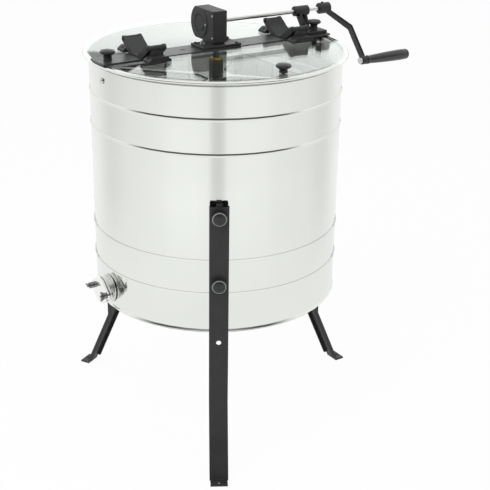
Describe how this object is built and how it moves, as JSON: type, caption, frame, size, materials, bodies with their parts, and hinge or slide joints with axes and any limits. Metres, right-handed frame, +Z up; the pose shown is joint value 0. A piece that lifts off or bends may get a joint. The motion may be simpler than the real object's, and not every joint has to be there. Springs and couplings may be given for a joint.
{
  "type": "honey extractor",
  "caption": "Hand-cranked honey extractor: a steel tank on splayed legs, clear hinged lids, a geared top drive, a spinning frame basket and a swinging honey gate.",
  "frame": {"origin": "centre of the bounding box on the floor, under the feet", "axes": "+Z up along the basket axis; +X along the cross bar towards the crank; +Y towards the rear lid"},
  "size_m": [0.7736, 0.6536, 0.908],
  "materials": {
    "polished_steel": "polished",
    "plain_steel": "plain",
    "black_coating": "satin powder coat",
    "black_plastic": "moulded",
    "clear_plastic": "clear sheet",
    "yellow_nylon": "moulded",
    "pale_nylon": "moulded",
    "pale_rubber": "matte"
  },
  "bodies": {
    "tank": {"tank_wall": "polished_steel", "tank_floor": "polished_steel", "cross_bar": "black_coating", "bar_support_left": "black_coating", "bar_support_right": "black_coating", "support_bolt_left": "plain_steel", "support_bolt_right": "plain_steel", "hinge_saddle_left": "black_plastic", "hinge_saddle_right": "black_plastic", "gearbox_base": "black_coating", "gearbox_housing": "black_plastic", "gearbox_cover": "black_plastic", "grease_plug": "black_plastic", "shaft_bush_wall": "pale_nylon", "shaft_bush_cover": "pale_nylon", "shaft_post": "black_coating", "top_bush": "yellow_nylon", "bottom_bearing": "pale_nylon", "outlet_pipe": "polished_steel", "gate_stud_left": "plain_steel", "gate_stud_right": "plain_steel", "gate_gasket": "pale_rubber", "leg_front": "black_coating", "leg_knob_front_upper": "black_plastic", "leg_knob_front_lower": "black_plastic", "leg_back": "black_coating", "leg_knob_back_upper": "black_plastic", "leg_knob_back_lower": "black_plastic", "leg_right": "black_coating", "leg_knob_right_upper": "black_plastic", "leg_knob_right_lower": "black_plastic"},
    "basket": {"basket_shaft": "polished_steel", "basket_spider_top": "polished_steel", "basket_frame": "polished_steel", "basket_screen_1": "polished_steel", "basket_screen_2": "polished_steel", "basket_screen_3": "polished_steel", "basket_screen_4": "polished_steel", "gear_pinion": "plain_steel"},
    "crank": {"drive_shaft": "polished_steel", "gear_wheel": "pale_nylon", "crank_arm": "black_coating", "crank_set_screw": "plain_steel", "grip_spindle": "plain_steel"},
    "grip": {"crank_grip": "black_plastic"},
    "front_lid": {"lid_front": "clear_plastic", "lid_knob_front": "black_plastic", "hinge_leaf_front_left": "black_plastic", "hinge_leaf_front_right": "black_plastic"},
    "rear_lid": {"lid_rear": "clear_plastic", "hinge_leaf_rear_left": "black_plastic", "hinge_leaf_rear_right": "black_plastic"},
    "gate": {"gate_flap": "polished_steel"},
    "left_gate_nut": {"gate_nut_left": "plain_steel"},
    "right_gate_nut": {"gate_nut_right": "plain_steel"},
    "left_bar_knob": {"bar_knob_left": "black_plastic"},
    "right_bar_knob": {"bar_knob_right": "black_plastic"}
  },
  "joints": [
    {"name": "basket_spin", "type": "hinge", "parent": "tank", "child": "basket", "pos_m": [-0.08675, 0, 0.6], "axis": [0, 0, 1], "continuous": true},
    {"name": "crank_turn", "type": "hinge", "parent": "tank", "child": "crank", "pos_m": [-0.08675, 0.0368, 0.876], "axis": [1, 0, 0], "continuous": true},
    {"name": "grip_spin", "type": "hinge", "parent": "crank", "child": "grip", "pos_m": [0.27075, -0.05374, 0.77185], "axis": [1, 0, 0], "continuous": true},
    {"name": "lid_front_open", "type": "hinge", "parent": "tank", "child": "front_lid", "pos_m": [-0.08675, -0.05, 0.86], "axis": [-1, 0, 0], "range_deg": [0, 88]},
    {"name": "lid_rear_open", "type": "hinge", "parent": "tank", "child": "rear_lid", "pos_m": [-0.08675, 0.05, 0.86], "axis": [1, 0, 0], "range_deg": [0, 88]},
    {"name": "gate_swing", "type": "hinge", "parent": "tank", "child": "gate", "pos_m": [-0.36935, 0.031, 0.345], "axis": [-1, 0, 0], "range_deg": [0, 90]},
    {"name": "gate_nut_left_turn", "type": "hinge", "parent": "tank", "child": "left_gate_nut", "pos_m": [-0.37365, 0.031, 0.345], "axis": [-1, 0, 0], "continuous": true},
    {"name": "gate_nut_right_turn", "type": "hinge", "parent": "tank", "child": "right_gate_nut", "pos_m": [-0.37365, -0.031, 0.345], "axis": [-1, 0, 0], "continuous": true},
    {"name": "bar_knob_left_turn", "type": "hinge", "parent": "tank", "child": "left_bar_knob", "pos_m": [-0.33575, 0, 0.8354], "axis": [0, 0, 1], "continuous": true},
    {"name": "bar_knob_right_turn", "type": "hinge", "parent": "tank", "child": "right_bar_knob", "pos_m": [0.16225, 0, 0.8417], "axis": [0, 0, 1], "continuous": true}
  ],
  "couplings": [
    {"joint": "crank_turn", "follows": "basket_spin", "ratio": 0.25}
  ]
}
